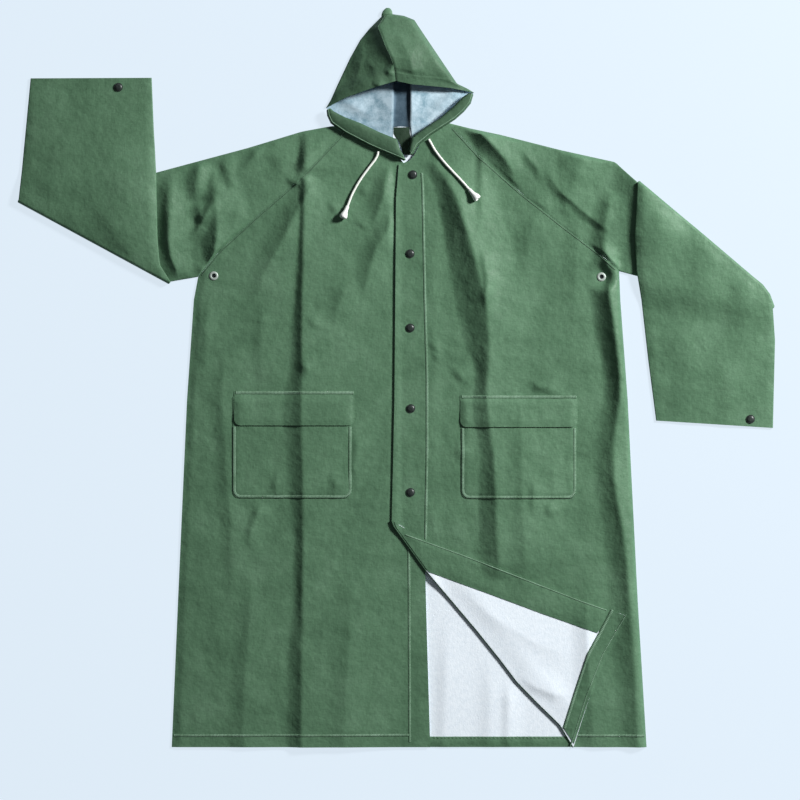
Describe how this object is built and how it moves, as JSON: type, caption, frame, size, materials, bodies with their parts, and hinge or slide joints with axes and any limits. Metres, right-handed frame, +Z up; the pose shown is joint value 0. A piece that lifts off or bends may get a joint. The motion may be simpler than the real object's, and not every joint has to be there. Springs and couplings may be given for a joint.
{
  "type": "hooded raincoat laid flat",
  "caption": "Long coated-cloth raincoat with hood and raglan sleeves, laid flat and snapped, forearms folded over, one front corner turned back.",
  "frame": {"origin": "on the floor under the middle of the laid-out coat", "axes": "+Z up from the floor, +Y towards the hood, +X towards the wearer's left sleeve"},
  "size_m": [1.4378, 1.403, 0.0402],
  "materials": {
    "green_coated_cloth": "matt coated cloth with a faint sheen",
    "white_lining": "soft knitted backing",
    "dark_snap": "black enamelled snap cap",
    "eyelet_metal": "plain nickel",
    "white_cord": "braided cotton",
    "white_plastic": "smooth moulded"
  },
  "bodies": {
    "root": {"back": "green_coated_cloth", "back_hem": "green_coated_cloth", "front_right": "green_coated_cloth", "front_left": "green_coated_cloth", "front_facing": "green_coated_cloth", "corner_hem": "green_coated_cloth", "pocket_right": "green_coated_cloth", "pocket_flap_right": "green_coated_cloth", "pocket_left": "green_coated_cloth", "pocket_flap_left": "green_coated_cloth", "sleeve_right": "green_coated_cloth", "sleeve_left": "green_coated_cloth", "hood_right": "green_coated_cloth", "hood_left": "green_coated_cloth", "hood_tip": "green_coated_cloth", "hood_band_right": "green_coated_cloth", "hood_band_left": "green_coated_cloth", "neck_strip": "green_coated_cloth", "snap_1": "dark_snap", "snap_2": "dark_snap", "snap_3": "dark_snap", "snap_4": "dark_snap", "snap_5": "dark_snap", "cuff_snap_right": "dark_snap", "cuff_snap_left": "dark_snap", "eyelet_right": "eyelet_metal", "eyelet_left": "eyelet_metal", "drawcord_right": "white_cord", "cord_end_right": "white_plastic", "drawcord_left": "white_cord", "cord_end_left": "white_plastic"}
  },
  "joints": []
}
